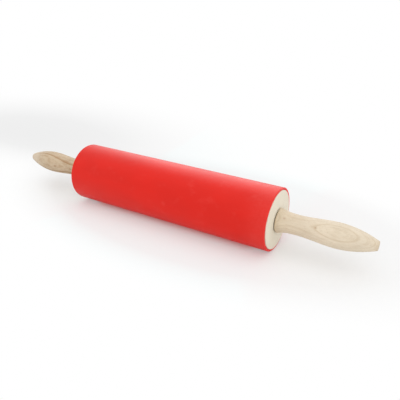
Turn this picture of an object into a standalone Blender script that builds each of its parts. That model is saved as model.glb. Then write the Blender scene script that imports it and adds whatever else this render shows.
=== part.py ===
"""Rolling pin: a silicone-sleeved wooden barrel that turns on a steel axle between two turned handles.

Metres, +Z up. The pin lies along X and its barrel rests on z = 0, under the middle of the barrel.
The barrel (sleeve, core and two nylon bushes) turns on the axle group (rod, washers and handles).
"""

import math

import bmesh
import bpy
from mathutils import Matrix, Vector

# Barrel, as long as its wooden core. The sleeve stops a little short of the core at each end
BARREL_LENGTH = 0.2246
BARREL_DIAMETER = 0.060
SLEEVE_WALL = 0.0020
SLEEVE_SETBACK = 0.0008
SLEEVE_EDGE_RADIUS = 0.0005
CORE_EDGE_RADIUS = 0.0004
CORE_BORE_ROOM = 0.0010

# Axle rod, with a splined grip at each end
ROD_DIAMETER = 0.008
ROD_END_CHAMFER = 0.0008
GRIP_DEPTH = 0.046
SPLINE_LENGTH = 0.030
SPLINE_RUN_OUT = 0.0015
SPLINE_RISE = 0.0003
SPLINE_CUT = 0.0003

# Nylon bush pressed into each end of the core, its flange a little below the core's face
BUSH_LENGTH = 0.014
BUSH_SETBACK = 0.0008
BUSH_WALL = 0.0028
BUSH_FLANGE_WIDTH = 0.0030
BUSH_FLANGE_THICKNESS = 0.0016
BUSH_LEAD_CHAMFER = 0.0008
BUSH_RIB_COUNT = 8
BUSH_RIB_WIDTH = 0.0012
BUSH_RIB_HEIGHT = 0.0008

# Steel thrust washer between each bush and its handle
WASHER_WIDTH = 0.0042
WASHER_THICKNESS = 0.0010
WASHER_EDGE_CHAMFER = 0.0002

# Turned handle: a rounded foot, a narrow neck, a belly for the palm and a small flat end
HANDLE_LENGTH = 0.0875
FOOT_DIAMETER = 0.0232
FOOT_EDGE_RADIUS = 0.0015
NECK_DIAMETER = 0.0184
BELLY_DIAMETER = 0.0228
TIP_DIAMETER = 0.0086
TIP_EDGE_RADIUS = 0.0006
SOCKET_MOUTH_CHAMFER = 0.0008
SOCKET_END_ROOM = 0.0010
NECK_SHARE = 0.22
BELLY_SHARE = 0.61
FLARE_POWER = 3

# Clearances between pieces
PRESS_GAP = 0.0003
RUNNING_GAP = 0.0001
WASHER_BORE_ROOM = 0.0002
END_FLOAT = 0.00015

# Facets round each turned piece, each a multiple of four so that a flat one faces straight down
BARREL_FACETS = 72
HANDLE_FACETS = 44
SMALL_FACETS = 32
ROD_FACETS = 40
FLARE_STEPS = 5
NECK_STEPS = 8
BELLY_STEPS = 9
EDGE_STEPS = 3
MERGE_WITHIN = 0.000001

SMOOTH_BELOW = math.radians(35)

rod_radius = ROD_DIAMETER / 2
core_radius = BARREL_DIAMETER / 2 - SLEEVE_WALL - PRESS_GAP
bush_bore_radius = rod_radius + RUNNING_GAP
bush_body_radius = bush_bore_radius + BUSH_WALL
bush_rib_radius = bush_body_radius + BUSH_RIB_HEIGHT
bush_flange_radius = bush_body_radius + BUSH_FLANGE_WIDTH
washer_bore_radius = rod_radius + WASHER_BORE_ROOM
bush_face = BARREL_LENGTH / 2 - BUSH_SETBACK
handle_start = bush_face + WASHER_THICKNESS + 2 * END_FLOAT
spline_tip_radius = rod_radius + SPLINE_RISE
spline_root_radius = rod_radius - SPLINE_CUT
socket_radius = spline_tip_radius + PRESS_GAP
rod_half_length = handle_start + GRIP_DEPTH
# The barrel lies on the flat of one facet, a little nearer its axis than its corners are
axis_height = BARREL_DIAMETER / 2 * math.cos(math.pi / BARREL_FACETS)


def clear_scene():
    for thing in list(bpy.data.objects):
        bpy.data.objects.remove(thing, do_unlink=True)


def principled(name, colour, roughness, metallic):
    material = bpy.data.materials.new(name)
    material.use_nodes = True
    shader = material.node_tree.nodes["Principled BSDF"]
    shader.inputs["Base Color"].default_value = (*colour, 1.0)
    shader.inputs["Roughness"].default_value = roughness
    shader.inputs["Metallic"].default_value = metallic
    material.diffuse_color = (*colour, 1.0)
    return material


def silicone():
    return principled("red_silicone", (0.77, 0.035, 0.025), 0.45, 0.0)


def core_wood():
    return principled("core_wood", (0.76, 0.68, 0.54), 0.6, 0.0)


def handle_wood():
    return principled("handle_wood", (0.70, 0.58, 0.41), 0.55, 0.0)


def nylon():
    return principled("white_nylon", (0.86, 0.85, 0.80), 0.4, 0.0)


def steel():
    return principled("bright_steel", (0.60, 0.60, 0.61), 0.3, 1.0)


def rounded_corner(along, radius, edge_radius, start_quarter):
    """Points of a quarter arc centred at (along, radius), clockwise from a start given in quarter turns."""
    angles = [math.pi / 2 * (start_quarter - step / EDGE_STEPS) for step in range(EDGE_STEPS + 1)]
    return [(along + edge_radius * math.cos(a), radius + edge_radius * math.sin(a)) for a in angles]


def finished_mesh(name, bm):
    bmesh.ops.recalc_face_normals(bm, faces=bm.faces)
    mesh = bpy.data.meshes.new(name)
    bm.to_mesh(mesh)
    bm.free()
    mesh.shade_smooth()
    mesh.set_sharp_from_angle(angle=SMOOTH_BELOW)
    return mesh


def turned_mesh(name, outline, facets):
    """Turns (along, radius) points about X. One facet faces straight down. Ends on the axis are closed."""
    bm = bmesh.new()
    half_facet = math.pi / facets
    outwards = Vector((0, math.sin(half_facet), -math.cos(half_facet)))
    verts = [bm.verts.new(Vector((along, 0, 0)) + radius * outwards) for along, radius in outline]
    edges = [bm.edges.new(pair) for pair in zip(verts, verts[1:])]
    if outline[0][1] > 0:
        edges.append(bm.edges.new((verts[-1], verts[0])))
    bmesh.ops.spin(bm, geom=verts + edges, axis=(1, 0, 0), angle=2 * math.pi, steps=facets, use_merge=True)
    bmesh.ops.remove_doubles(bm, verts=bm.verts, dist=MERGE_WITHIN)
    return finished_mesh(name, bm)


def placed(name, mesh, material, parent, along=0.0, faces_left=False):
    """One named piece on its parent's axis. A piece that faces left is the same mesh turned half round."""
    if not mesh.materials:
        mesh.materials.append(material)
    piece = bpy.data.objects.new(name, mesh)
    bpy.context.scene.collection.objects.link(piece)
    piece.parent = parent
    piece.location.x = -along if faces_left else along
    piece.rotation_euler.z = math.pi if faces_left else 0.0
    return piece


def axis_empty(name):
    """The turning axis of one moving group."""
    empty = bpy.data.objects.new(name, None)
    empty.location.z = axis_height
    empty.empty_display_size = BARREL_DIAMETER
    bpy.context.scene.collection.objects.link(empty)
    return empty


def silicone_sleeve(barrel, material):
    """A tube over the core, with its outer edges eased and its inner edges left square."""
    end = BARREL_LENGTH / 2 - SLEEVE_SETBACK
    outer = BARREL_DIAMETER / 2
    inner = outer - SLEEVE_WALL
    edge_along = end - SLEEVE_EDGE_RADIUS
    edge_height = outer - SLEEVE_EDGE_RADIUS
    outline = [(-end, inner)]
    outline += rounded_corner(-edge_along, edge_height, SLEEVE_EDGE_RADIUS, 2)
    outline += rounded_corner(edge_along, edge_height, SLEEVE_EDGE_RADIUS, 1)
    outline.append((end, inner))
    return placed("silicone_sleeve", turned_mesh("silicone_sleeve", outline, BARREL_FACETS), material, barrel)


def barrel_core(barrel, material):
    """The wooden roller: bored through, with a stepped seat for a bush at each end."""
    end = BARREL_LENGTH / 2
    edge_along = end - CORE_EDGE_RADIUS
    edge_height = core_radius - CORE_EDGE_RADIUS
    flange_seat = bush_face - BUSH_FLANGE_THICKNESS - PRESS_GAP
    body_seat = bush_face - BUSH_LENGTH - PRESS_GAP
    flange_radius = bush_flange_radius + PRESS_GAP
    seat_radius = bush_rib_radius + PRESS_GAP
    bore_radius = rod_radius + CORE_BORE_ROOM
    right_bore = [
        (end, flange_radius),
        (flange_seat, flange_radius),
        (flange_seat, seat_radius),
        (body_seat, seat_radius),
        (body_seat, bore_radius),
    ]
    outline = rounded_corner(-edge_along, edge_height, CORE_EDGE_RADIUS, 2)
    outline += rounded_corner(edge_along, edge_height, CORE_EDGE_RADIUS, 1)
    outline += right_bore
    outline += [(-along, radius) for along, radius in reversed(right_bore)]
    return placed("barrel_core", turned_mesh("barrel_core", outline, BARREL_FACETS), material, barrel)


def bush_rib_mesh():
    """The ribs that bite into the core, as blocks that reach into the bush's wall."""
    bm = bmesh.new()
    low = bush_bore_radius + BUSH_WALL / 2
    inner_end = BUSH_LEAD_CHAMFER - BUSH_LENGTH
    outer_end = -BUSH_FLANGE_THICKNESS / 2
    size = Vector((outer_end - inner_end, BUSH_RIB_WIDTH, bush_rib_radius - low))
    middle = Vector(((outer_end + inner_end) / 2, 0, (bush_rib_radius + low) / 2))
    for number in range(BUSH_RIB_COUNT):
        rib = bmesh.ops.create_cube(bm, size=1)["verts"]
        bmesh.ops.scale(bm, vec=size, verts=rib)
        bmesh.ops.translate(bm, vec=middle, verts=rib)
        turn = Matrix.Rotation(2 * math.pi * number / BUSH_RIB_COUNT, 3, "X")
        bmesh.ops.rotate(bm, cent=(0, 0, 0), matrix=turn, verts=rib)
    return finished_mesh("bush_ribs", bm)


def bush_mesh():
    """A flanged bearing bush, its flange's face at x = 0 and its body running to -X."""
    outline = [
        (-BUSH_LENGTH, bush_bore_radius),
        (-BUSH_LENGTH, bush_body_radius - BUSH_LEAD_CHAMFER),
        (BUSH_LEAD_CHAMFER - BUSH_LENGTH, bush_body_radius),
        (-BUSH_FLANGE_THICKNESS, bush_body_radius),
        (-BUSH_FLANGE_THICKNESS, bush_flange_radius),
        (0, bush_flange_radius),
        (0, bush_bore_radius),
    ]
    return turned_mesh("bearing_bush", outline, SMALL_FACETS)


def bearing_bushes(barrel, material):
    ribs = bpy.data.objects.new("bush_rib_guide", bush_rib_mesh())
    bpy.context.scene.collection.objects.link(ribs)
    ribs.hide_render = True
    ribs.display_type = "WIRE"
    plain = bpy.data.objects.new("bush_blank", bush_mesh())
    bpy.context.scene.collection.objects.link(plain)
    union = plain.modifiers.new("ribs", "BOOLEAN")
    union.operation = "UNION"
    union.object = ribs
    ribbed = bpy.data.meshes.new_from_object(plain.evaluated_get(bpy.context.evaluated_depsgraph_get()))
    ribbed.name = "ribbed_bush"
    bpy.data.objects.remove(plain, do_unlink=True)
    bpy.data.objects.remove(ribs, do_unlink=True)
    placed("right_bearing_bush", ribbed, material, barrel, bush_face)
    placed("left_bearing_bush", ribbed, material, barrel, bush_face, faces_left=True)


def rod_stations():
    """(along, tooth tip radius, tooth root radius) from the middle of the rod to its right end."""
    spline_start = rod_half_length - SPLINE_LENGTH
    chamfer_start = rod_half_length - ROD_END_CHAMFER
    end_radius = spline_root_radius - ROD_END_CHAMFER / 2
    return [
        (spline_start - SPLINE_RUN_OUT, rod_radius, rod_radius),
        (spline_start, spline_tip_radius, spline_root_radius),
        (chamfer_start, spline_tip_radius, spline_root_radius),
        (rod_half_length, end_radius, end_radius),
    ]


def axle_rod(axle, material):
    """A plain rod whose ends are splined to grip the handles."""
    bm = bmesh.new()
    right = rod_stations()
    stations = [(-along, tip, root) for along, tip, root in reversed(right)] + right
    rings = []
    for along, tip, root in stations:
        ring = []
        for number in range(ROD_FACETS):
            angle = 2 * math.pi * (number + 0.5) / ROD_FACETS
            radius = tip if number % 2 == 0 else root
            ring.append(bm.verts.new((along, radius * math.sin(angle), -radius * math.cos(angle))))
        rings.append(ring)
    for near, far in zip(rings, rings[1:]):
        for number in range(ROD_FACETS):
            after = (number + 1) % ROD_FACETS
            bm.faces.new((near[number], near[after], far[after], far[number]))
    bm.faces.new(rings[0])
    bm.faces.new(rings[-1])
    return placed("axle_rod", finished_mesh("axle_rod", bm), material, axle)


def washer_mesh():
    """A flat ring from x = 0 outwards, with its outer edges chamfered."""
    outer = washer_bore_radius + WASHER_WIDTH
    outline = [
        (0, washer_bore_radius),
        (0, outer - WASHER_EDGE_CHAMFER),
        (WASHER_EDGE_CHAMFER, outer),
        (WASHER_THICKNESS - WASHER_EDGE_CHAMFER, outer),
        (WASHER_THICKNESS, outer - WASHER_EDGE_CHAMFER),
        (WASHER_THICKNESS, washer_bore_radius),
    ]
    return turned_mesh("thrust_washer", outline, SMALL_FACETS)


def thrust_washers(axle, material):
    mesh = washer_mesh()
    start = bush_face + END_FLOAT
    placed("right_thrust_washer", mesh, material, axle, start)
    placed("left_thrust_washer", mesh, material, axle, start, faces_left=True)


def handle_flare():
    """The foot narrowing quickly into the neck, then ever more slowly."""
    start = FOOT_EDGE_RADIUS
    run = NECK_SHARE * HANDLE_LENGTH - start
    rise = (FOOT_DIAMETER - NECK_DIAMETER) / 2
    steps = [step / FLARE_STEPS for step in range(1, FLARE_STEPS)]
    return [(start + run * t, NECK_DIAMETER / 2 + rise * (1 - t) ** FLARE_POWER) for t in steps]


def handle_swell():
    """The neck swelling into the belly, level at both of its ends."""
    start = NECK_SHARE * HANDLE_LENGTH
    run = BELLY_SHARE * HANDLE_LENGTH - start
    rise = (BELLY_DIAMETER - NECK_DIAMETER) / 2
    steps = [step / NECK_STEPS for step in range(NECK_STEPS)]
    return [(start + run * t, NECK_DIAMETER / 2 + rise * t * t * (3 - 2 * t)) for t in steps]


def handle_taper():
    """The belly falling away to the tip as a parabola."""
    start = BELLY_SHARE * HANDLE_LENGTH
    run = HANDLE_LENGTH - TIP_EDGE_RADIUS - start
    drop = (BELLY_DIAMETER - TIP_DIAMETER) / 2
    steps = [step / BELLY_STEPS for step in range(BELLY_STEPS)]
    return [(start + run * t, BELLY_DIAMETER / 2 - drop * t * t) for t in steps]


def handle_mesh():
    """The turned handle, its foot's face at x = 0, with a blind socket for the rod's splined end."""
    foot = rounded_corner(FOOT_EDGE_RADIUS, FOOT_DIAMETER / 2 - FOOT_EDGE_RADIUS, FOOT_EDGE_RADIUS, 2)
    tip_along = HANDLE_LENGTH - TIP_EDGE_RADIUS
    tip = rounded_corner(tip_along, TIP_DIAMETER / 2 - TIP_EDGE_RADIUS, TIP_EDGE_RADIUS, 1)
    socket_end = GRIP_DEPTH + SOCKET_END_ROOM
    outline = [
        (socket_end, 0),
        (socket_end, socket_radius),
        (SOCKET_MOUTH_CHAMFER, socket_radius),
        (0, socket_radius + SOCKET_MOUTH_CHAMFER),
    ]
    outline += foot + handle_flare() + handle_swell() + handle_taper() + tip
    outline.append((HANDLE_LENGTH, 0))
    return turned_mesh("turned_handle", outline, HANDLE_FACETS)


def handles(axle, material):
    mesh = handle_mesh()
    placed("right_handle", mesh, material, axle, handle_start)
    placed("left_handle", mesh, material, axle, handle_start, faces_left=True)


def main():
    clear_scene()
    barrel = axis_empty("barrel")
    axle = axis_empty("axle")
    bright = steel()
    silicone_sleeve(barrel, silicone())
    barrel_core(barrel, core_wood())
    bearing_bushes(barrel, nylon())
    axle_rod(axle, bright)
    thrust_washers(axle, bright)
    handles(axle, handle_wood())


main()
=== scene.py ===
"""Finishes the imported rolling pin: silicone sleeve, end-grain core, turned handles and bearing fittings.

Metres, +Z up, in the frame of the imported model. The pin lies along X and its barrel rests on z = 0.
Patterns are drawn in millimetres, from the middle of the pin's axis or, on a handle, from its foot.
"""

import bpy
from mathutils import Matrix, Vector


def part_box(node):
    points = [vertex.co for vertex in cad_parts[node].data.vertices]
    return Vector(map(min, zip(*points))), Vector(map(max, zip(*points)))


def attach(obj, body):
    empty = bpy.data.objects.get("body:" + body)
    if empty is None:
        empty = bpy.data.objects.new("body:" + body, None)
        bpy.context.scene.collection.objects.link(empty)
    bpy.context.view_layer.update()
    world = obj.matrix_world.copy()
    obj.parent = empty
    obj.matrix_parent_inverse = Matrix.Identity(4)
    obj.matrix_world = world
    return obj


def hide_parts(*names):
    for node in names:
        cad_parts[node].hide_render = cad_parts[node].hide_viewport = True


bl_info = {
    "name": "Sleeved Rolling Pin",
    "version": (1, 0, 0),
    "blender": (4, 5, 0),
    "location": "View3D > Sidebar > Rolling Pin",
    "description": "Finishes each piece of a rolling pin with a silicone sleeve and sets its stage",
    "category": "Object",
}

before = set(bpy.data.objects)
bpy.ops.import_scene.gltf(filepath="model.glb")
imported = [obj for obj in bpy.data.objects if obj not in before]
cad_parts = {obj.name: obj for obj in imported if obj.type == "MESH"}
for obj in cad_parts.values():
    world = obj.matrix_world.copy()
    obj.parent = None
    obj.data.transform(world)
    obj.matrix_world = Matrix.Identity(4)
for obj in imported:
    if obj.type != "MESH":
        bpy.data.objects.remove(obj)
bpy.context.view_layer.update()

import math
from types import SimpleNamespace

import bmesh
import bpy
from bpy.props import FloatProperty, FloatVectorProperty, IntProperty, PointerProperty
from mathutils import Matrix, Vector, noise

MILLIMETRE = 0.001
FULL_TURN = 2 * math.pi
WHITE = (1.0, 1.0, 1.0, 1.0)
BLACK = (0.0, 0.0, 0.0, 1.0)

# Meshes
MERGE_WITHIN = 0.000001
SMOOTH_BELOW = math.radians(32)
BACK_AND_UP = Vector((0.0, 0.7, 0.7)).normalized()
ARC_STEPS = 8
SOCKET_ROWS = 4
FLOOR_SEGMENTS = 96

# Places of the sockets on a Mix node for colours
MIX_COVER = 0
MIX_BELOW = 6
MIX_ABOVE = 7
MIX_RESULT = 2

# View
IMAGE_WIDTH = 400
SENSOR_WIDTH = 36.0
SEEN = ("Is Camera Ray", "Is Glossy Ray", "Is Transmission Ray")

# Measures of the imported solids
sleeve_low, sleeve_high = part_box("silicone_sleeve")
core_low, core_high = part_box("barrel_core")
handle_low, handle_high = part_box("right_handle")
sleeve_radius = (sleeve_high.z - sleeve_low.z) / 2
core_radius = (core_high.z - core_low.z) / 2
axis_middle = Vector((0.0, 0.0, (sleeve_low.z + sleeve_high.z) / 2))


def field(kind, **traits):
    """A maker of fields of one kind, which takes a field's name, default and description."""

    def maker(name, default, description, **more):
        return kind(name=name, default=default, description=description, **{**traits, **more})

    return maker


length = field(FloatProperty, min=0, precision=5, subtype="DISTANCE", unit="LENGTH")
share = field(FloatProperty, min=0, max=1, subtype="FACTOR")
amount = field(FloatProperty, precision=4)
angle = field(FloatProperty, subtype="ANGLE", unit="ROTATION")
colour = field(FloatVectorProperty, min=0, max=1, subtype="COLOR")
place = field(FloatVectorProperty, precision=4, subtype="XYZ", unit="LENGTH")
count = field(IntProperty, min=3)


class SleeveSettings(bpy.types.PropertyGroup):
    """The silicone tube over the barrel."""

    wall: length("Wall", 0.0020, "Thickness of the rubber")
    edge_radius: length("Edge radius", 0.0005, "Rounding of the outer edge at each end")
    slant: length("Slant", 0.0004, "How much further each end reaches at the top of the back")
    wave: length("Wave", 0.00006, "How far the rubber dips between its fullest places")
    wave_length: length("Wave length", 0.045, "Distance between two full places of the rubber")
    colour: colour("Colour", (0.725, 0.0085, 0.0006), "Colour of the rubber")
    bloom: colour("Bloom", (0.80, 0.10, 0.085), "Colour of the rubber where it is chalky")
    # The cut's brighter red is partly the clean cut's own colour and partly a painted highlight along the
    # rounded rim.
    cut_rubber_and_highlight: colour("Cut rubber", (0.84, 0.014, 0.010), "Colour of the clean cut at each end")
    cut_highlight_start: length("Cut start", 0.00015, "Depth under the skin where the cut's colour starts")
    cut_highlight_full: length("Cut full", 0.00040, "Depth under the skin where the cut's colour is full")
    smudge_share: share("Smudges", 0.20, "Strength of the chalky smudges")
    small_smudge: place("Small smudge", (0.0072, -0.0299, 0.0326), "Middle of a small chalky smudge")
    small_smudge_reach: length("Small smudge reach", 0.0040, "Radius of that smudge")
    chalky_end: length("Chalky end", 0.0280, "Distance from the right end over which it gets chalky")
    roughness: share("Roughness", 0.42, "How matte the rubber is")
    roughness_swing: share("Roughness swing", 0.05, "How far the fine skin moves that up and down")
    refraction: amount("Refraction", 1.34, "Index of refraction of the rubber")
    relief: length("Relief", 0.000012, "Depth of the fine skin")
    segments: count("Segments", 240, "Faces round the barrel")
    rows: count("Rows", 90, "Faces along the barrel")


class CoreSettings(bpy.types.PropertyGroup):
    """The wooden roller inside the sleeve."""

    edge_radius: length("Edge radius", 0.0004, "Rounding of the wood's rim")
    flange_seat_depth: length("Flange seat depth", 0.0027, "Depth of the step for the bush's flange")
    flange_seat_radius: length("Flange seat radius", 0.0102, "Radius of that step")
    body_seat_depth: length("Body seat depth", 0.0151, "Depth of the hole for the bush")
    body_seat_radius: length("Body seat radius", 0.0080, "Radius of that hole")
    bore_radius: length("Bore radius", 0.0050, "Radius of the hole right through")
    light_wood: colour("Light wood", (0.865, 0.810, 0.675), "Colour of the early wood on the end grain")
    dark_wood: colour("Dark wood", (0.66, 0.55, 0.41), "Colour of the late wood on the end grain")
    ring_width: length("Ring width", 0.0024, "Width of one year's growth")
    late_start: share("Late start", 0.35, "Share of a ring before its late wood starts")
    wander: length("Wander", 0.0012, "How far the rings stray from true circles")
    pith_depth: length("Pith depth", 0.058, "Distance from the roller's axis to the middle of the tree")
    growth_turn: angle("Growth turn", math.radians(97), "Turn of the tree's outward direction from upright")
    grime_reach: length("Grime reach", 0.0011, "Width of the grimy edge at the rim")
    cutter_spacing: length("Cutter spacing", 0.00055, "Distance between the cutter's fine circles")
    late_share: share("Late wood", 0.55, "Strength of the late wood")
    ray_share: share("Rays", 0.35, "Strength of the pale rays")
    pore_share: share("Pores", 0.30, "Strength of the pores")
    grime_share: share("Grime", 0.14, "Strength of the grime at the rim")
    roughness: share("Roughness", 0.62, "How matte the wood is")
    refraction: amount("Refraction", 1.45, "Index of refraction of the wood")
    relief: length("Relief", 0.00003, "Depth of the pores and the cutter's circles")
    segments: count("Segments", 192, "Faces round the roller")


class HandleSettings(bpy.types.PropertyGroup):
    """The turned shape that both handles share. Each field is an input of the handle's node tree."""

    length: length("Length", handle_high.x - handle_low.x, "Length of a handle")
    foot_diameter: length("Foot", 0.0232, "Diameter of the foot, which meets the barrel")
    neck_diameter: length("Neck", 0.0184, "Diameter of the narrow neck")
    belly_diameter: length("Belly", 0.0228, "Diameter of the swell that fills the palm")
    tip_diameter: length("Tip", 0.0086, "Diameter of the flat tip")
    foot_edge: length("Foot edge", 0.0015, "Rounding of the foot's edge")
    tip_edge: length("Tip edge", 0.0006, "Rounding of the tip's edge")
    socket_diameter: length("Socket", 0.0092, "Diameter of the hole for the rod")
    socket_depth: length("Socket depth", 0.0470, "Depth of that hole")
    socket_chamfer: length("Socket chamfer", 0.0008, "Bevel at the mouth of that hole")
    neck_share: share("Neck place", 0.22, "Narrowest place, as a share of the length")
    belly_share: share("Belly place", 0.61, "Fullest place, as a share of the length")
    around: count("Around", 160, "Faces round a handle")
    along: count("Along", 180, "Faces along a handle")


class Figure:
    """How a handle lay in the tree, which gives the figure that turning laid bare, with the painted shade
    near its foot and the colour of its tip.
    """

    light_wood: colour("Light wood", (0.775, 0.675, 0.530), "Colour of the early wood")
    dark_wood: colour("Dark wood", (0.50, 0.37, 0.22), "Colour of the late wood")
    knot_wood: colour("Knot wood", (0.36, 0.19, 0.10), "Colour of the small knots")
    # On the left handle the paler tip colour is painted light on the shaded end; on the right the tip is
    # darker.
    tip_wood: colour("Tip wood", (0.50, 0.37, 0.22), "Colour of the wood at the tip")
    growth_lean: angle("Growth lean", math.radians(49.9), "Lean forwards of the tree's outward direction")
    pith_depth: length("Pith depth", 0.100, "Distance from the handle's axis to the middle of the tree")
    ring_width: length("Ring width", 0.00200, "Width of one year's growth")
    ring_face: length("Ring face", 0.01021, "Height over the handle's axis of one ring's outer face")
    run_out: amount("Run-out", 0.0195, "Slope of the grain outwards, along the handle")
    side_run: amount("Side run", 0.0263, "Slope of the grain sideways, along the handle")
    wander: length("Wander", 0.00035, "How far the rings stray from true circles")
    late_start: share("Late start", 0.55, "Share of a ring before its late wood starts")
    late_share: share("Late wood", 0.40, "Strength of the late wood")
    marked_share: share("Marked ring", 0.40, "Strength of the late wood inside the ring face above")
    oval_fade: share("Oval fade", 0.22, "How much weaker the late wood is outside that ring face")
    year: amount("Year", 3.0, "Which years these are, and so how dark each is")
    band_share: share("Bands", 0.22, "Strength of the fine bands along the rings")
    cloud_share: share("Clouds", 0.14, "Strength of the soft blotches")
    fibre_share: share("Fibre", 0.12, "Strength of the wide streaks along the grain")
    thread_share: share("Thread", 0.10, "Strength of the fine streaks along the grain")
    fleck_share: share("Flecks", 0.30, "Strength of the ray flecks")
    pore_share: share("Pores", 0.22, "Strength of the pores")
    # Painted shade: the wood is darker by the foot, beside the crevice at the barrel, and more faintly
    # along the neck.
    foot_reach: length("Foot reach", 0.009, "Distance from the foot over which its shade fades")
    foot_share: share("Foot", 0.26, "Strength of the shade on the foot")
    neck_shade_reach: length("Grip reach", 0.064, "Distance from the foot over which the shade of use fades")
    neck_shade_share: share("Grip", 0.18, "Strength of the shade of use by the foot")
    tip_reach: length("Tip reach", 0.004, "Distance from the tip over which its colour fades in")
    tip_share: share("Tip", 0.30, "How much of its own colour the tip has")
    knot_share: share("Knot", 0.40, "Strength of the two small knots")
    knot_along: length("Knot along", 0.0076, "Distance of one knot from the foot")
    knot_across: length("Knot across", 0.0009, "Sideways place of that knot", min=-1.0)
    knot_radius: length("Knot radius", 0.0010, "Radius of that knot")
    knot_pull: length("Knot pull", 0.00008, "How far that knot pulls the rings out of line")
    pin_along: length("Pin knot along", 0.0362, "Distance of the smaller knot from the foot")
    pin_across: length("Pin knot across", -0.0003, "Sideways place of the smaller knot", min=-1.0)
    pin_radius: length("Pin knot radius", 0.0008, "Radius of the smaller knot")
    tooling_spacing: length("Tooling spacing", 0.00062, "Distance between the chisel's faint ridges")
    roughness: share("Roughness", 0.62, "How matte the wood is")
    refraction: amount("Refraction", 1.38, "Index of refraction of the wood")
    relief: length("Relief", 0.00003, "Depth of the pores and the chisel's ridges")


def changed(name, default):
    """A field of Figure once more, with another default."""
    first = Figure.__annotations__[name]
    return first.function(**{**first.keywords, "default": default})


class RightFigureSettings(Figure, bpy.types.PropertyGroup):
    """The blank of the right handle: a closed oval on the belly, and long lines past the neck."""


class LeftFigureSettings(Figure, bpy.types.PropertyGroup):
    """The blank of the left handle: wider rings, one of them dark, and a knot inside the oval. Its wood is
    painted darker all over as shade, and its tip paler as light.
    """

    # Painted shade: the left handle's wood is darker than the right's, as the shade it lies in.
    light_wood: changed("light_wood", (0.600, 0.480, 0.335))
    dark_wood: changed("dark_wood", (0.30, 0.125, 0.025))
    # Painted light: a paler tip over its last 30 mm.
    tip_wood: changed("tip_wood", (0.78, 0.68, 0.55))
    growth_lean: changed("growth_lean", math.radians(78.7))
    pith_depth: changed("pith_depth", 0.150)
    ring_width: changed("ring_width", 0.0031)
    ring_face: changed("ring_face", 0.00832)
    run_out: changed("run_out", 0.0245)
    side_run: changed("side_run", -0.577)
    late_start: changed("late_start", 0.12)
    late_share: changed("late_share", 0.24)
    marked_share: changed("marked_share", 1.0)
    year: changed("year", 41.0)
    cloud_share: changed("cloud_share", 0.30)
    neck_shade_share: changed("neck_shade_share", 0.0)
    tip_reach: changed("tip_reach", 0.030)
    tip_share: changed("tip_share", 0.60)
    knot_share: changed("knot_share", 0.60)
    knot_along: changed("knot_along", 0.0430)
    knot_across: changed("knot_across", 0.0015)
    knot_radius: changed("knot_radius", 0.0014)
    pin_along: changed("pin_along", 0.0212)
    pin_across: changed("pin_across", 0.0012)
    pin_radius: changed("pin_radius", 0.0011)


class FittingSettings(bpy.types.PropertyGroup):
    """The bushes, the washers and the rod."""

    nylon: colour("Nylon", (0.80, 0.79, 0.74), "Colour of the bushes")
    nylon_roughness: share("Nylon roughness", 0.34, "How matte the nylon is")
    nylon_refraction: amount("Nylon refraction", 1.53, "Index of refraction of the nylon")
    nylon_scatter: share("Nylon scatter", 0.15, "How much of the light passes into the nylon")
    nylon_scatter_depth: length("Nylon scatter depth", 0.001, "How deep that light goes")
    nylon_relief: length("Nylon relief", 0.000008, "Depth of the moulded grain")
    steel: colour("Steel", (0.60, 0.60, 0.61), "Colour of the rod and the washers")
    steel_roughness: share("Steel roughness", 0.28, "How dull the steel is")
    steel_relief: length("Steel relief", 0.000006, "Depth of the scratches and circles")


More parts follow.
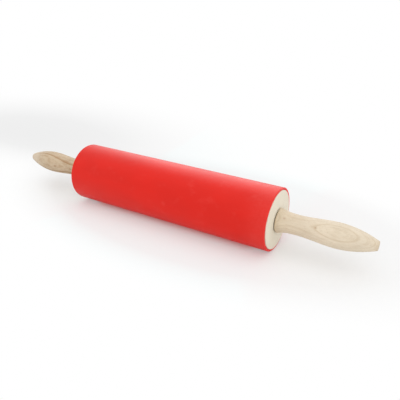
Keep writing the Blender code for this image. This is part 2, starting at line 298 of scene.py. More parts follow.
class StageSettings(bpy.types.PropertyGroup):
    """The floor, the light and the view."""

    floor_radius: length("Floor radius", 12.0, "Radius of the floor")
    floor_colour: colour("Floor", (0.85, 0.85, 0.85), "Colour of the floor")
    floor_glow: share("Floor glow", 0.26, "Share of plain white in the floor near the pin")
    # Painted reflection and shadow: the floor's white share turns red and darker along the barrel's line of
    # contact.
    contact_reflection_and_shadow: colour("Contact glow", (1.0, 0.12, 0.11), "Colour of that share under the barrel")
    contact_from: length("Contact from", 0.004, "Distance from the line of contact where it fades")
    contact_reach: length("Contact reach", 0.022, "Distance from the line of contact where it is gone")
    contact_inset: length("Contact inset", 0.028, "Distance before each end of the barrel where it fades")
    # Painted light: near the barrel the white share is cooler and brighter, which takes out some of the red
    # bounce light.
    near_painted_tint: colour("Near glow", (0.89, 1.0, 1.0), "Colour of that share near the barrel")
    near_strength: amount("Near strength", 1.09, "Strength of the colour near the barrel")
    near_end: length("Near end", 0.042, "Distance along the pin over which it turns white")
    floor_middle: place("Floor middle", (0.02, 0.037, 0.0), "Middle of the floor's pale grey pool")
    floor_stretch: amount("Floor stretch", 2.0, "How much longer than wide that pool is")
    white_from: length("White from", 0.082, "Distance at which the floor starts to turn white")
    white_beyond: length("White beyond", 0.145, "Distance beyond which the floor is white")
    shade_middle: place("Shade middle", (-0.34, 0.110, 0.0), "Middle of the soft shade by the left handle")
    shade_stretch: amount("Shade stretch", 1.6, "How much longer than wide that shade is")
    shade_front: amount("Shade front", 2.2, "How much faster that shade fades forwards")
    shade_reach: length("Shade reach", 0.26, "Distance backwards at which that shade ends")
    shade_share: share("Shade", 0.10, "How much darker the floor is in the middle of that shade")
    sky_strength: amount("Sky", 0.93, "Strength of the even light from all round")
    overhead_power: amount("Overhead lamp", 7.0, "Power of the lamp overhead", unit="POWER")
    overhead_place: place("Overhead place", (0.45, -0.50, 1.22), "Place of the lamp overhead")
    overhead_size: length("Overhead size", 2.4, "Side of the lamp overhead")
    rear_power: amount("Rear lamp", 19.0, "Power of the lamp behind the pin", unit="POWER")
    rear_place: place("Rear place", (-0.17, 1.10, 0.88), "Place of the lamp behind the pin")
    rear_size: length("Rear size", 1.8, "Length of the lamp behind the pin")
    rear_height: length("Rear height", 1.6, "Height of the lamp behind the pin")
    camera_place: place("Camera place", (0.2367, -0.3516, 0.2330), "Place of the camera")
    camera_turn: angle("Camera turn", math.radians(30.372), "Turn of the camera about the vertical")
    camera_dip: angle("Camera dip", math.radians(26.543), "Angle by which the camera looks down")
    focal_pixels: amount("Focal length", 462.9, "Focal length in pixels of the picture's width")


class PinSettings(bpy.types.PropertyGroup):
    """All that a user would change."""

    sleeve: PointerProperty(type=SleeveSettings)
    core: PointerProperty(type=CoreSettings)
    handle: PointerProperty(type=HandleSettings)
    right_figure: PointerProperty(type=RightFigureSettings)
    left_figure: PointerProperty(type=LeftFigureSettings)
    fittings: PointerProperty(type=FittingSettings)
    stage: PointerProperty(type=StageSettings)


def math_method(kind, swapped=False):
    """A method that adds one Math node to the tree of its term."""

    def method(self, *others):
        values = (*others, self) if swapped else (self, *others)
        return self.sheet.math(kind, *values)

    return method


class Term:
    """One output in a node tree. Sums of terms add Math nodes, so that a formula reads as one."""

    def __init__(self, sheet, socket):
        self.sheet = sheet
        self.socket = socket

    __add__ = math_method("ADD")
    __radd__ = math_method("ADD", swapped=True)
    __sub__ = math_method("SUBTRACT")
    __rsub__ = math_method("SUBTRACT", swapped=True)
    __mul__ = math_method("MULTIPLY")
    __rmul__ = math_method("MULTIPLY", swapped=True)
    __truediv__ = math_method("DIVIDE")
    __pow__ = math_method("POWER")
    root = math_method("SQRT")
    whole = math_method("FLOOR")
    part = math_method("FRACT")
    unsigned = math_method("ABSOLUTE")

    def held(self):
        """This, held between 0 and 1."""
        return self.sheet.math("MINIMUM", self.sheet.math("MAXIMUM", self, 0.0), 1.0)


class Sheet:
    """Adds nodes to one tree. Inputs are given by name or number, as a plain value or as a term."""

    def __init__(self, tree):
        self.tree = tree

    def add(self, kind, inputs=None, **settings):
        node = self.tree.nodes.new(kind)
        for setting, value in settings.items():
            setattr(node, setting, value)
        for slot, value in (inputs or {}).items():
            self.feed(node.inputs[slot], value)
        return node

    def feed(self, socket, value):
        if isinstance(value, Term):
            self.tree.links.new(value.socket, socket)
        else:
            socket.default_value = value

    def out(self, node, slot=0):
        return Term(self, node.outputs[slot])

    def math(self, operation, *values):
        return self.out(self.add("ShaderNodeMath", dict(enumerate(values)), operation=operation))

    def vector(self, operation, *values):
        node = self.add("ShaderNodeVectorMath", dict(enumerate(values)), operation=operation)
        return self.out(node, "Value" if operation == "LENGTH" else "Vector")

    def split(self, vector):
        node = self.add("ShaderNodeSeparateXYZ", {0: vector})
        return self.out(node, 0), self.out(node, 1), self.out(node, 2)

    def joined(self, x, y, z):
        return self.out(self.add("ShaderNodeCombineXYZ", {0: x, 1: y, 2: z}))

    def rise(self, value, low, high, to_low=0.0, to_high=1.0):
        """A soft step from one value to another while the input goes from low to high."""
        inputs = {"Value": value, "From Min": low, "From Max": high, "To Min": to_low, "To Max": to_high}
        return self.out(self.add("ShaderNodeMapRange", inputs, interpolation_type="SMOOTHSTEP"), "Result")

    def fall(self, value, low, high):
        """A soft step from 1 down to 0 while the input goes from low to high."""
        return self.rise(value, low, high, 1.0, 0.0)

    def wave(self, value, spacing, shift=0.0):
        """A wave between 0 and 1 that comes round again after each spacing."""
        return self.math("SINE", value * (FULL_TURN / spacing) + shift) * 0.5 + 0.5

    def grain(self, vector, size, detail=3.0, roughness=0.5, shift=0.0):
        """Soft noise from 0 to 1, whose blotches have the given size along each axis."""
        spread = self.vector("MULTIPLY", vector, tuple(1 / side for side in size))
        moved = self.vector("ADD", spread, (shift, shift, shift))
        inputs = {"Vector": moved, "Scale": 1.0, "Detail": detail, "Roughness": roughness}
        return self.out(self.add("ShaderNodeTexNoise", inputs), "Fac")

    def coated(self, below, *coats):
        """A colour under coats, each given as its cover from 0 to 1, its strength and its colour."""
        for cover, strength, above in coats:
            inputs = {MIX_COVER: cover * strength, MIX_BELOW: below, MIX_ABOVE: above}
            below = self.out(self.add("ShaderNodeMix", inputs, data_type="RGBA"), MIX_RESULT)
        return below

    def from_axis(self, spot):
        """Distance of a spot from the X axis."""
        return self.vector("LENGTH", self.vector("MULTIPLY", spot, (0.0, 1.0, 1.0)))


class Surface(Sheet):
    """The sheet of a Principled material. Even inputs go straight onto the shader's sockets."""

    def __init__(self, name, viewport_colour, even_inputs):
        self.material = bpy.data.materials.new(name)
        self.material.use_nodes = True
        self.material.diffuse_color = opaque(viewport_colour)
        self.material.node_tree.nodes.clear()
        super().__init__(self.material.node_tree)
        self.shader = self.add("ShaderNodeBsdfPrincipled", even_inputs)
        self.add("ShaderNodeOutputMaterial", {"Surface": self.out(self.shader)})

    def spot(self, middle=axis_middle, turn=(0.0, 0.0, 0.0)):
        """Object coordinates in millimetres from a middle point, in a frame turned by Euler angles."""
        source = self.out(self.add("ShaderNodeTexCoord"), "Object")
        scale = (MILLIMETRE, MILLIMETRE, MILLIMETRE)
        inputs = {"Vector": source, "Location": middle, "Rotation": turn, "Scale": scale}
        return self.out(self.add("ShaderNodeMapping", inputs, vector_type="TEXTURE"))

    def finished(self, base, roughness, height, relief):
        """The material, with a bump from a height of 0 to 1 that stands for a relief in metres."""
        bump = self.out(self.add("ShaderNodeBump", {"Height": height, "Distance": relief}))
        for slot, value in (("Base Color", base), ("Roughness", roughness), ("Normal", bump)):
            self.feed(self.shader.inputs[slot], value)
        return self.material


def opaque(colour_value, factor=1.0):
    return (*(channel * factor for channel in colour_value), 1.0)


def total(base, *parts):
    """A base value and further parts, each given as a term and its weight."""
    for term, weight in parts:
        base = base + term * weight
    return base


def late_wood(sheet, rings, start, first_year=0.0):
    """Darkness of the late wood, which gathers towards a ring's outer face and differs by year."""
    phase = rings.part()
    gathering = sheet.rise(phase, low=start, high=0.94)
    ending = sheet.fall(phase, low=0.95, high=1.0)
    year = sheet.add("ShaderNodeTexWhiteNoise", {"W": rings.whole() + first_year}, noise_dimensions="1D")
    strength = sheet.rise(sheet.out(year, "Value"), low=0.0, high=1.0, to_low=0.6)
    return gathering * gathering * ending * strength


def smudge(sheet, spot, middle, reach):
    """1 at the middle of a round smudge, falling to 0 at its edge."""
    offset = sheet.vector("SUBTRACT", spot, tuple((Vector(middle) - axis_middle) / MILLIMETRE))
    return sheet.fall(sheet.vector("LENGTH", offset), 0.0, reach / MILLIMETRE)


def silicone(settings):
    """Satin red rubber: a fine matte skin, chalky marks of use, a slow drift of colour, and a brighter red
    cut at each end that is partly a painted highlight.
    """
    sheet = Surface("red_silicone", settings.colour, {"IOR": settings.refraction})
    spot = sheet.spot()
    along, _, _ = sheet.split(spot)
    end = sleeve_high.x / MILLIMETRE
    outside = sleeve_radius / MILLIMETRE
    drift = sheet.grain(spot, size=(55.0, 22.0, 22.0))
    cloud = sheet.grain(spot, size=(14.0, 10.0, 10.0), roughness=0.55, shift=5.0)
    speck = sheet.grain(spot, size=(2.2, 1.6, 1.6), detail=2.0, shift=9.0)
    skin = sheet.grain(spot, size=(0.32, 0.32, 0.32), roughness=0.6)

    small = smudge(sheet, spot, settings.small_smudge, settings.small_smudge_reach)
    by_end = sheet.rise(along, end - settings.chalky_end / MILLIMETRE, end)
    film = sheet.rise(cloud, low=0.52, high=0.85) + small + by_end
    chalk = film.held() * sheet.rise(speck, low=0.30, high=0.70, to_low=0.6)
    cut_highlight_full = outside - settings.cut_highlight_full / MILLIMETRE
    cut_highlight_start = outside - settings.cut_highlight_start / MILLIMETRE
    base = sheet.coated(
        opaque(settings.colour),
        (sheet.rise(drift, low=0.3, high=0.7), 1.0, opaque(settings.colour, 0.93)),
        (chalk, settings.smudge_share, opaque(settings.bloom)),
        # Clean cut at each end, painted brighter as a highlight along the rim as well
        (sheet.fall(sheet.from_axis(spot), cut_highlight_full, cut_highlight_start), 1.0, opaque(settings.cut_rubber_and_highlight)),
    )
    smoothest = settings.roughness - settings.roughness_swing
    dullest = settings.roughness + settings.roughness_swing
    matte = sheet.rise(skin, low=0.2, high=0.8, to_low=smoothest, to_high=dullest)
    height = total(0.0, (skin, 0.7), (drift, 0.3))
    return sheet.finished(base, total(matte, (chalk, 0.08)), height, settings.relief)


def end_grain(settings):
    """Faced end grain: rings round a far pith, rays across them, pores, and the cutter's fine circles."""
    sheet = Surface("core_wood", settings.light_wood, {"IOR": settings.refraction})
    spot = sheet.spot(turn=(settings.growth_turn, 0.0, 0.0))
    along, across, outwards = sheet.split(spot)
    pith = settings.pith_depth / MILLIMETRE
    rim = core_radius / MILLIMETRE
    depth = outwards + pith
    from_pith = (across * across + depth * depth).root()
    wander = sheet.grain(spot, size=(60.0, 14.0, 14.0), detail=2.0) * (settings.wander / MILLIMETRE)
    rings = (from_pith + wander) / (settings.ring_width / MILLIMETRE)
    late = late_wood(sheet, rings, settings.late_start)

    polar = sheet.joined(along, sheet.math("ARCTAN2", across, depth) * pith, from_pith)
    streaks = sheet.grain(polar, size=(14.0, 0.42, 9.0), detail=2.0, roughness=0.6)
    ray = sheet.rise(streaks, low=0.55, high=0.75)
    holes = sheet.grain(polar, size=(5.0, 0.16, 0.16), detail=1.0, shift=3.0)
    pore = sheet.rise(holes, low=0.60, high=0.76)
    drift = sheet.grain(spot, size=(40.0, 15.0, 15.0), shift=7.0)
    radius = sheet.from_axis(spot)
    circles = sheet.wave(radius, settings.cutter_spacing / MILLIMETRE)
    grime = sheet.rise(radius, rim - settings.grime_reach / MILLIMETRE, rim)
    base = sheet.coated(
        opaque(settings.light_wood),
        (sheet.rise(drift, low=0.3, high=0.7), 0.6, opaque(settings.light_wood, 0.94)),
        (late, settings.late_share, opaque(settings.dark_wood)),
        (ray, settings.ray_share, opaque(settings.light_wood)),
        (pore, settings.pore_share, opaque(settings.dark_wood, 0.62)),
        (grime, settings.grime_share, opaque(settings.dark_wood, 0.75)),
    )
    roughness = total(settings.roughness, (pore, 0.2), (ray, -0.1))
    height = total(0.6, (circles, 0.35), (ray, 0.25), (pore, -0.6), (late, -0.2))
    return sheet.finished(base, roughness, height, settings.relief)


def away_from_knot(sheet, spot, along, across, radius):
    """Distance from the middle of a knot, in its own radii. Turning cuts a knot longer along the grain."""
    slimness = 0.7
    from_middle = sheet.vector("SUBTRACT", spot, (along / MILLIMETRE, across / MILLIMETRE, 0.0))
    spread = MILLIMETRE / radius
    return sheet.vector("LENGTH", sheet.vector("MULTIPLY", from_middle, (slimness * spread, spread, 0.0)))


def ring_height(sheet, figure, shape, spot, pull):
    """Height in the tree of a spot, over the ring that meets the handle's axis at its middle."""
    along, across, outwards = sheet.split(spot)
    pith = figure.pith_depth / MILLIMETRE
    from_middle = along - shape.length / MILLIMETRE / 2
    depth = outwards + from_middle * figure.run_out + pith
    sideways = across + from_middle * figure.side_run
    stray = sheet.grain(spot, size=(38.0, 10.0, 10.0), detail=2.0, shift=figure.year) - 0.5
    wander = total(0.0, (stray, figure.wander / MILLIMETRE), (pull, figure.knot_pull / MILLIMETRE))
    return (sideways * sideways + depth * depth).root() - pith + wander


def turned_wood(name, figure, shape, faces_left):
    """Turned and sanded beech: the rings of its blank, fibre, ray flecks, pores and two small knots."""
    sheet = Surface(name, figure.light_wood, {"IOR": figure.refraction})
    side = -1 if faces_left else 1
    turn = (side * figure.growth_lean, 0.0, math.pi if faces_left else 0.0)
    spot = sheet.spot((side * handle_low.x, 0.0, axis_middle.z), turn)
    along, across, outwards = sheet.split(spot)

    near_knot = away_from_knot(sheet, spot, figure.knot_along, figure.knot_across, figure.knot_radius)
    near_pin = away_from_knot(sheet, spot, figure.pin_along, figure.pin_across, figure.pin_radius)
    facing = sheet.rise(outwards, low=4.0, high=6.0)
    knot = sheet.fall(sheet.math("MINIMUM", near_knot, near_pin), low=0.4, high=1.3) * facing
    pull = sheet.fall(near_knot, low=0.5, high=4.5) * facing

    height = ring_height(sheet, figure, shape, spot, pull)
    rings = (height - figure.ring_face / MILLIMETRE) / (figure.ring_width / MILLIMETRE)
    past_face = rings.whole() + 1.0
    marked = 1.0 - past_face.unsigned().held()
    late_strength = total(
        figure.late_share,
        (marked, figure.marked_share - figure.late_share),
        (past_face.held(), -figure.oval_fade),
    )
    late = late_wood(sheet, rings, figure.late_start, figure.year) * late_strength
    layers = sheet.joined(height, along, across)
    bands = sheet.grain(layers, size=(0.55, 40.0, 40.0), detail=2.0, shift=figure.year)

    fibre = sheet.grain(spot, size=(26.0, 0.8, 0.8), roughness=0.6)
    thread = sheet.grain(spot, size=(7.0, 0.22, 0.22), detail=2.0, shift=4.0)
    spots = sheet.grain(spot, size=(2.6, 0.34, 0.34), detail=0.0, shift=11.0)
    fleck = sheet.rise(spots, low=0.70, high=0.80)
    holes = sheet.grain(spot, size=(1.3, 0.10, 0.10), detail=0.0, shift=17.0)
    pore = sheet.rise(holes, low=0.64, high=0.78)
    drift = sheet.grain(spot, size=(42.0, 13.0, 13.0), shift=21.0)
    cloud = sheet.grain(spot, size=(8.0, 3.6, 3.6), shift=31.0)
    # Painted shade by the foot and along the neck
    painted_neck_shade = total(
        0.0,
        (sheet.fall(along, 0.0, figure.foot_reach / MILLIMETRE), figure.foot_share),
        (sheet.fall(along, 0.0, figure.neck_shade_reach / MILLIMETRE), figure.neck_shade_share),
    )
    end = shape.length / MILLIMETRE
    tip = sheet.rise(along, end - figure.tip_reach / MILLIMETRE, end)

    dark = opaque(figure.dark_wood)
    marks = total(0.0, (fleck, figure.fleck_share), (pore, figure.pore_share))
    base = sheet.coated(
        opaque(figure.light_wood, 1.05),
        (sheet.rise(drift, low=0.30, high=0.70), 1.0, opaque(figure.light_wood, 0.94)),
        (sheet.rise(bands, low=0.45, high=0.75), figure.band_share, dark),
        (sheet.rise(cloud, low=0.45, high=0.70), figure.cloud_share, dark),
        (sheet.rise(fibre, low=0.35, high=0.70), figure.fibre_share, dark),
        (sheet.rise(thread, low=0.45, high=0.75), figure.thread_share, dark),
        (painted_neck_shade, 1.0, dark),
        (late, 1.0, dark),
        (marks, 1.0, opaque(figure.dark_wood, 0.6)),
        (knot, figure.knot_share, opaque(figure.knot_wood)),
        # Tip colour: painted light on the left, darker on the right
        (tip, figure.tip_share, opaque(figure.tip_wood)),
    )
    wobble = fibre * 3.0
    tooling = sheet.wave(along, figure.tooling_spacing / MILLIMETRE, wobble)
    roughness = total(figure.roughness, (fibre, 0.10), (pore, 0.15), (late, -0.06))
    relief = ((thread, 0.5), (fibre, 0.2), (tooling, 0.12), (pore, -0.6), (fleck, -0.3))
    return sheet.finished(base, roughness, total(0.6, *relief), figure.relief)


def nylon(settings):
    """Moulded nylon: slightly waxy, with a fine grain and faint flow marks."""
    even_inputs = {
        "IOR": settings.nylon_refraction,
        "Subsurface Weight": settings.nylon_scatter,
        "Subsurface Scale": settings.nylon_scatter_depth,
    }
    sheet = Surface("white_nylon", settings.nylon, even_inputs)
    spot = sheet.spot()
    flow = sheet.grain(spot, size=(6.0, 1.5, 1.5))
    skin = sheet.grain(spot, size=(0.15, 0.15, 0.15), detail=2.0, shift=3.0)
    base = sheet.coated(opaque(settings.nylon), (flow, 1.0, opaque(settings.nylon, 0.90)))
    height = total(0.0, (skin, 0.6), (flow, 0.4))
    roughness = total(settings.nylon_roughness, (skin, 0.16))
    return sheet.finished(base, roughness, height, settings.nylon_relief)


def drawn_steel(settings):
    """Bright bar: fine scratches along it from the drawing die, and a thin film of dull patches."""
    sheet = Surface("bright_steel", settings.steel, {"Metallic": 1.0})
    spot = sheet.spot()
    scratch = sheet.grain(spot, size=(24.0, 0.12, 0.12), roughness=0.7)
    film = sheet.grain(spot, size=(9.0, 4.0, 4.0), shift=6.0)
    patches = sheet.rise(film, low=0.4, high=0.7)
    base = sheet.coated(opaque(settings.steel), (patches, 0.5, opaque(settings.steel, 0.78)))
    smoothest = settings.steel_roughness - 0.08
    roughness = total(smoothest, (scratch, 0.12), (film, 0.08))
    return sheet.finished(base, roughness, scratch, settings.steel_relief)


def turned_steel(settings):
    """A stamped and faced washer: fine circles round its bore, under a thin film of dull patches."""
    sheet = Surface("washer_steel", settings.steel, {"Metallic": 1.0})
    spot = sheet.spot()
    across = sheet.joined(sheet.from_axis(spot), 0.0, 0.0)
    circles = sheet.grain(across, size=(0.09, 1.0, 1.0), roughness=0.7)
    film = sheet.grain(spot, size=(3.0, 3.0, 3.0), shift=6.0)
    base = sheet.coated(opaque(settings.steel), (film, 0.6, opaque(settings.steel, 0.75)))
    roughness = total(settings.steel_roughness, (circles, 0.14))
    return sheet.finished(base, roughness, circles, settings.steel_relief)


def finish_mesh(mesh):
    """Doubles merged, faces outwards, and smooth shading except across sharp edges."""
    bm = bmesh.new()
    bm.from_mesh(mesh)
    bmesh.ops.remove_doubles(bm, verts=bm.verts, dist=MERGE_WITHIN)
    bmesh.ops.recalc_face_normals(bm, faces=bm.faces)
    bm.to_mesh(mesh)
    bm.free()
    mesh.shade_smooth()
    mesh.set_sharp_from_angle(angle=SMOOTH_BELOW)


def linked(name, data):
    """A new object in the scene."""
    thing = bpy.data.objects.new(name, data)
    bpy.context.scene.collection.objects.link(thing)
    return thing


def new_piece(name, mesh, material, body, slot, *nodes):
    """A finished mesh as a piece that rides on a body, in place of the plain solids it stands for."""
    mesh.materials.clear()
    mesh.materials.append(material)
    piece = linked(name, mesh)
    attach(piece, body)
    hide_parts(*nodes)


def turned_mesh(name, outline, segments):
    """A closed outline of (along, radius) points, turned about the pin's axis."""
    bm = bmesh.new()
    verts = [bm.verts.new((along, 0.0, axis_middle.z - radius)) for along, radius in outline]
    edges = [bm.edges.new(pair) for pair in zip(verts, verts[1:] + verts[:1])]
    about = {"cent": axis_middle, "axis": (1, 0, 0), "angle": FULL_TURN}
    bmesh.ops.spin(bm, geom=verts + edges, steps=segments, use_merge=True, **about)
    mesh = bpy.data.meshes.new(name)
    bm.to_mesh(mesh)
    bm.free()
    finish_mesh(mesh)
    return mesh


def quarter_arc(along, radius, size, start_quarter):
    """Points of a quarter circle about (along, radius), clockwise from a start in quarter turns."""
    turns = [math.pi / 2 * (start_quarter - step / ARC_STEPS) for step in range(ARC_STEPS + 1)]
    return [(along + size * math.cos(turn), radius + size * math.sin(turn)) for turn in turns]


def sleeve_mesh(settings):
    """A tube with eased edges, whose skin dips slightly here and there as stretched rubber does."""
    end = sleeve_high.x
    inner = sleeve_radius - settings.wall
    edge_along = end - settings.edge_radius
    edge_height = sleeve_radius - settings.edge_radius
    outline = [(-end, inner)]
    outline += quarter_arc(-edge_along, edge_height, settings.edge_radius, 2)
    steps = [step / settings.rows for step in range(1, settings.rows)]
    outline += [(edge_along * (2 * step - 1), sleeve_radius) for step in steps]
    outline += quarter_arc(edge_along, edge_height, settings.edge_radius, 1)
    outline.append((end, inner))
    mesh = turned_mesh("silicone_sleeve_skin", outline, settings.segments)
    for vert in mesh.vertices:
        out = Vector((0.0, vert.co.y, vert.co.z - axis_middle.z))
        if out.length > edge_height:
            wide_wave = noise.noise(vert.co / settings.wave_length)
            fine_wave = noise.noise(vert.co * 2 / settings.wave_length)
            dip = 0.5 - (wide_wave - fine_wave) / 2
            vert.co -= out.normalized() * settings.wave * max(0.0, min(1.0, dip))
        if abs(vert.co.x) > edge_along - MERGE_WITHIN:
            reach = 0.5 + 0.5 * out.normalized().dot(BACK_AND_UP)
            vert.co.x += math.copysign(settings.slant * reach, vert.co.x)
    return mesh


def core_mesh(settings):
    """A roller bored through, with a stepped seat for a bush at each end."""
    end = core_high.x
    edge_along = end - settings.edge_radius
    edge_height = core_radius - settings.edge_radius
    right_bore = [
        (end, settings.flange_seat_radius),
        (end - settings.flange_seat_depth, settings.flange_seat_radius),
        (end - settings.flange_seat_depth, settings.body_seat_radius),
        (end - settings.body_seat_depth, settings.body_seat_radius),
        (end - settings.body_seat_depth, settings.bore_radius),
    ]
    outline = quarter_arc(-edge_along, edge_height, settings.edge_radius, 2)
    outline += quarter_arc(edge_along, edge_height, settings.edge_radius, 1)
    outline += right_bore
    outline += [(-along, radius) for along, radius in reversed(right_bore)]
    return turned_mesh("barrel_core_wood", outline, settings.segments)


def handle_radius(x, size):
    """Radius of a handle at a distance from its foot: the sum of its flare, swell, taper and edges."""
    flare_power = 3.0
    neck_place = size.neck_share * size.length
    belly_place = size.belly_share * size.length
    tip_place = size.length - size.tip_edge
    flare = ((x - size.foot_edge) / (neck_place - size.foot_edge)).held()
    swell = ((x - neck_place) / (belly_place - neck_place)).held()
    taper = ((x - belly_place) / (tip_place - belly_place)).held()
    foot_curve = (1.0 - x / size.foot_edge).held()
    tip_curve = ((x - tip_place) / size.tip_edge).held()
    radius = size.neck_diameter / 2
    radius += (size.foot_diameter - size.neck_diameter) / 2 * (1.0 - flare) ** flare_power
    radius += (size.belly_diameter - size.neck_diameter) / 2 * swell * swell * (3.0 - 2.0 * swell)
    radius -= (size.belly_diameter - size.tip_diameter) / 2 * taper * taper
    radius -= size.foot_edge * (1.0 - (1.0 - foot_curve * foot_curve).root())
    radius -= size.tip_edge * (1.0 - (1.0 - tip_curve * tip_curve).root())
    return radius


def handle_tree():
    """A node tree that turns a handle with its foot at x = 0 and a blind socket for the rod.

    Its rows run from the middle of the socket's end, out round the foot and along to the middle of the tip.
    """
    tree = bpy.data.node_groups.new("turned_handle", "GeometryNodeTree")
    for name, made in HandleSettings.__annotations__.items():
        kind = "NodeSocketInt" if made.function is IntProperty else "NodeSocketFloat"
        tree.interface.new_socket(name=name, in_out="INPUT", socket_type=kind)
    tree.interface.new_socket(name="material", in_out="INPUT", socket_type="NodeSocketMaterial")
    tree.interface.new_socket(name="Geometry", in_out="OUTPUT", socket_type="NodeSocketGeometry")
    sheet = Sheet(tree)
    given = sheet.add("NodeGroupInput")
    size = SimpleNamespace(**{socket.name: Term(sheet, socket) for socket in given.outputs if socket.name})
    last_row = size.along + SOCKET_ROWS

    grid_inputs = {
        "Size X": size.around,
        "Size Y": last_row,
        "Vertices X": size.around + 1.0,
        "Vertices Y": last_row + 1.0,
    }
    grid = sheet.out(sheet.add("GeometryNodeMeshGrid", grid_inputs), "Mesh")
    spread_x, spread_y, _ = sheet.split(sheet.out(sheet.add("GeometryNodeInputPosition")))
    column = sheet.math("ROUND", spread_x + size.around / 2.0)
    row = sheet.math("ROUND", spread_y + last_row / 2.0)

    step = ((row - SOCKET_ROWS) / (size.along - 1.0)).held()
    x = size.length * (1.0 - sheet.math("COSINE", step * math.pi)) / 2.0
    on_skin = sheet.math("LESS_THAN", row, last_row - 0.5)
    socket_radius = size.socket_diameter / 2.0
    corners = (
        sheet.joined(size.socket_depth, 0.0, 0.0),
        sheet.joined(size.socket_depth, socket_radius, 0.0),
        sheet.joined(size.socket_chamfer, socket_radius, 0.0),
        sheet.joined(0.0, socket_radius + size.socket_chamfer, 0.0),
        sheet.joined(x, handle_radius(x, size) * on_skin, 0.0),
    )
    choice = sheet.add("GeometryNodeIndexSwitch", data_type="VECTOR")
    while len(choice.index_switch_items) < len(corners):
        choice.index_switch_items.new()
    sheet.feed(choice.inputs["Index"], sheet.math("MINIMUM", row, SOCKET_ROWS))
    for number, corner in enumerate(corners):
        sheet.feed(choice.inputs[number + 1], corner)
    along, radius, _ = sheet.split(sheet.out(choice))

    turn = column / size.around * FULL_TURN
    point = sheet.joined(along, radius * sheet.math("SINE", turn), radius * sheet.math("COSINE", turn))
    steps = (
        ("GeometryNodeSetPosition", {"Position": point}),
        ("GeometryNodeMergeByDistance", {"Distance": MERGE_WITHIN}),
        ("GeometryNodeRealizeInstances", {}),
        ("GeometryNodeSetMaterial", {"Material": size.material}),
    )
    for kind, inputs in steps:
        grid = sheet.out(sheet.add(kind, {"Geometry": grid, **inputs}))
    sheet.add("NodeGroupOutput", {0: grid})
    return tree


def handle_mesh(name, tree, settings, material, faces_left):
    """One handle from the tree, as a plain mesh in its place on the pin."""
    blank = linked(name, bpy.data.meshes.new(name))
    modifier = blank.modifiers.new("turned_handle", "NODES")
    modifier.node_group = tree
    for item in tree.interface.items_tree:
        if item.in_out == "INPUT":
            is_material = item.name == "material"
            modifier[item.identifier] = material if is_material else getattr(settings, item.name)
    shaped = blank.evaluated_get(bpy.context.evaluated_depsgraph_get())
    mesh = bpy.data.meshes.new_from_object(shaped)
    blank.modifiers.remove(modifier)
    bpy.data.objects.remove(blank, do_unlink=True)
    foot = (-handle_low.x if faces_left else handle_low.x, 0.0, axis_middle.z)
    turn = Matrix.Rotation(math.pi if faces_left else 0.0, 4, "Z")
    mesh.transform(Matrix.Translation(foot) @ turn)
    finish_mesh(mesh)
    return mesh


def finish_node(node, material):
    """A better material on a solid whose shape is right."""
    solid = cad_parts[node]
    solid.data.materials.clear()
    solid.data.materials.append(material)


class ROLLINGPIN_OT_sleeve(bpy.types.Operator):
    """Turn the silicone sleeve"""

    bl_idname = "rolling_pin.sleeve"
    bl_label = "Silicone Sleeve"

    def execute(self, context):
        settings = context.scene.rolling_pin.sleeve
        rubber = silicone(settings)
        mesh = sleeve_mesh(settings)
        new_piece("silicone_sleeve_skin", mesh, rubber, "barrel", "red_silicone", "silicone_sleeve")
        return {"FINISHED"}


class ROLLINGPIN_OT_core(bpy.types.Operator):
    """Turn the wooden roller inside the sleeve"""

    bl_idname = "rolling_pin.core"
    bl_label = "Barrel Core"

    def execute(self, context):
        settings = context.scene.rolling_pin.core
        wood = end_grain(settings)
        new_piece("barrel_core_wood", core_mesh(settings), wood, "barrel", "core_wood", "barrel_core")
        return {"FINISHED"}


class ROLLINGPIN_OT_handles(bpy.types.Operator):
    """Turn both handles, each with the figure of its own blank"""

    bl_idname = "rolling_pin.handles"
    bl_label = "Turned Handles"

    def execute(self, context):
        pin = context.scene.rolling_pin
        tree = handle_tree()
        for side, figure in (("right", pin.right_figure), ("left", pin.left_figure)):
            faces_left = side == "left"
            name = f"{side}_handle_turned"
            wood = turned_wood(f"{side}_handle_wood", figure, pin.handle, faces_left)
            mesh = handle_mesh(name, tree, pin.handle, wood, faces_left)
            new_piece(name, mesh, wood, "axle", "handle_wood", f"{side}_handle")
        return {"FINISHED"}


class ROLLINGPIN_OT_fittings(bpy.types.Operator):
    """Finish the bushes, the washers and the rod"""

    bl_idname = "rolling_pin.fittings"
    bl_label = "Bearing Fittings"

    def execute(self, context):
        settings = context.scene.rolling_pin.fittings
        bush = nylon(settings)
        washer = turned_steel(settings)
        for side in ("left", "right"):
            finish_node(f"{side}_bearing_bush", bush)
            finish_node(f"{side}_thrust_washer", washer)
        finish_node("axle_rod", drawn_steel(settings))
        return {"FINISHED"}


def seen_rays(sheet, *kinds):
    """1 for rays of the given kinds, and 0 for all others."""
    path = sheet.add("ShaderNodeLightPath")
    return sum(sheet.out(path, kind) for kind in kinds)


def away_from(sheet, spot, middle, stretch, front=1.0):
    """Distance over the floor from a middle point, shortened along X and lengthened forwards."""
    x, y, _ = sheet.split(sheet.vector("SUBTRACT", spot, tuple(middle)))
    return sheet.vector("LENGTH", sheet.joined(x / stretch, sheet.math("MAXIMUM", y, y * -front), 0.0))


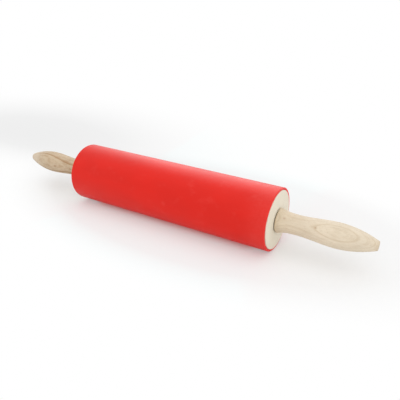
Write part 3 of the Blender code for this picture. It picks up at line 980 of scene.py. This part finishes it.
def floor_material(settings):
    """A pale floor that keeps the pin's shadow, and is plain white beyond it. Its white share for the
    camera is painted red and darker along the barrel's line of contact as reflection and shadow, and cooler
    near the barrel to take out red bounce light.
    """
    material = bpy.data.materials.new("pale_floor")
    material.use_nodes = True
    material.node_tree.nodes.clear()
    sheet = Sheet(material.node_tree)
    spot = sheet.out(sheet.add("ShaderNodeTexCoord"), "Object")
    x, y, _ = sheet.split(spot)
    away = away_from(sheet, spot, settings.floor_middle, settings.floor_stretch)
    from_shade = away_from(sheet, spot, settings.shade_middle, settings.shade_stretch, settings.shade_front)
    in_shade = sheet.fall(from_shade, 0.0, settings.shade_reach)
    beyond = sheet.rise(away, settings.white_from, settings.white_beyond) * (1.0 - in_shade)
    past_end = sheet.math("MAXIMUM", x.unsigned() - (sleeve_high.x - settings.contact_inset), 0.0)
    from_contact = sheet.vector("LENGTH", sheet.joined(past_end, y, 0.0))
    # Painted reflection and shadow along the line of contact, and a painted cooler tint near the barrel
    clear = sheet.rise(from_contact, settings.contact_from, settings.contact_reach)
    plain = sheet.math("MAXIMUM", beyond, sheet.rise(past_end, 0.0, settings.near_end))
    glow_with_painted_light = sheet.coated(
        opaque(settings.contact_reflection_and_shadow),
        (clear, 1.0, opaque(settings.near_painted_tint, settings.near_strength)),
        (plain, 1.0, WHITE),
    )
    floor_colour = sheet.coated(opaque(settings.floor_colour), (in_shade, settings.shade_share, BLACK))
    matte = sheet.out(sheet.add("ShaderNodeBsdfDiffuse", {"Color": floor_colour}))
    white = sheet.out(sheet.add("ShaderNodeEmission", {"Color": glow_with_painted_light, "Strength": 1.0}))
    glow = seen_rays(sheet, "Is Camera Ray") * settings.floor_glow
    share_of_white = sheet.math("MAXIMUM", beyond * seen_rays(sheet, *SEEN), glow)
    surface = sheet.add("ShaderNodeMixShader", {0: share_of_white, 1: matte, 2: white})
    sheet.add("ShaderNodeOutputMaterial", {"Surface": sheet.out(surface)})
    return material


def build_floor(settings):
    """A round floor under the pin."""
    bm = bmesh.new()
    bmesh.ops.create_circle(bm, cap_ends=True, segments=FLOOR_SEGMENTS, radius=settings.floor_radius)
    mesh = bpy.data.meshes.new("floor")
    bm.to_mesh(mesh)
    bm.free()
    mesh.materials.append(floor_material(settings))
    floor = linked("floor", mesh)


def build_lamp(name, power, width, height, spot):
    """A soft lamp that faces the middle of the pin."""
    light = bpy.data.lights.new(name, "AREA")
    light.shape = "RECTANGLE"
    light.size = width
    light.size_y = height
    light.energy = power
    lamp = linked(name, light)
    lamp.location = spot
    lamp.rotation_euler = (axis_middle - Vector(spot)).to_track_quat("-Z", "Y").to_euler()
    return lamp


def build_sky(settings):
    """Even light from all round, which the camera and gloss see as white."""
    world = bpy.data.worlds.new("even_sky")
    world.use_nodes = True
    world.node_tree.nodes.clear()
    sheet = Sheet(world.node_tree)
    strength = seen_rays(sheet, *SEEN) * (1.0 - settings.sky_strength) + settings.sky_strength
    sky = sheet.add("ShaderNodeBackground", {"Color": WHITE, "Strength": strength})
    sheet.add("ShaderNodeOutputWorld", {"Surface": sheet.out(sky)})
    bpy.context.scene.world = world


def build_camera(settings):
    """The camera, level and at the given angles."""
    data = bpy.data.cameras.new("camera")
    data.sensor_width = SENSOR_WIDTH
    data.lens = settings.focal_pixels / IMAGE_WIDTH * SENSOR_WIDTH
    camera = linked("camera", data)
    camera.location = settings.camera_place
    camera.rotation_euler = (math.pi / 2 - settings.camera_dip, 0.0, settings.camera_turn)
    bpy.context.scene.camera = camera


class ROLLINGPIN_OT_stage(bpy.types.Operator):
    """Set the floor, the light and the camera"""

    bl_idname = "rolling_pin.stage"
    bl_label = "Stage"

    def execute(self, context):
        settings = context.scene.rolling_pin.stage
        context.scene.view_settings.view_transform = "Standard"
        build_floor(settings)
        build_sky(settings)
        side = settings.overhead_size
        build_lamp("overhead_lamp", settings.overhead_power, side, side, settings.overhead_place)
        strip = (settings.rear_size, settings.rear_height, settings.rear_place)
        build_lamp("rear_lamp", settings.rear_power, *strip).visible_diffuse = False
        build_camera(settings)
        return {"FINISHED"}


STEPS = (
    ROLLINGPIN_OT_sleeve,
    ROLLINGPIN_OT_core,
    ROLLINGPIN_OT_handles,
    ROLLINGPIN_OT_fittings,
    ROLLINGPIN_OT_stage,
)


class ROLLINGPIN_PT_sidebar(bpy.types.Panel):
    """Lists the steps that finish the pin, with the settings of each"""

    bl_idname = "ROLLINGPIN_PT_sidebar"
    bl_label = "Rolling Pin"
    bl_space_type = "VIEW_3D"
    bl_region_type = "UI"
    bl_category = "Rolling Pin"

    def draw(self, context):
        for step in STEPS:
            self.layout.operator(step.bl_idname)
        pin = context.scene.rolling_pin
        for group_name in PinSettings.__annotations__:
            box = self.layout.box()
            box.label(text=group_name.replace("_", " ").capitalize())
            group = getattr(pin, group_name)
            for prop in group.bl_rna.properties:
                if prop.identifier not in ("rna_type", "name"):
                    box.prop(group, prop.identifier)


CLASSES = (
    SleeveSettings,
    CoreSettings,
    HandleSettings,
    RightFigureSettings,
    LeftFigureSettings,
    FittingSettings,
    StageSettings,
    PinSettings,
    *STEPS,
    ROLLINGPIN_PT_sidebar,
)


def register():
    for cls in CLASSES:
        bpy.utils.register_class(cls)
    bpy.types.Scene.rolling_pin = PointerProperty(type=PinSettings)


def unregister():
    del bpy.types.Scene.rolling_pin
    for cls in reversed(CLASSES):
        bpy.utils.unregister_class(cls)


def main():
    register()
    bpy.ops.rolling_pin.sleeve()
    bpy.ops.rolling_pin.core()
    bpy.ops.rolling_pin.handles()
    bpy.ops.rolling_pin.fittings()
    bpy.ops.rolling_pin.stage()


if __name__ == "__main__":
    main()
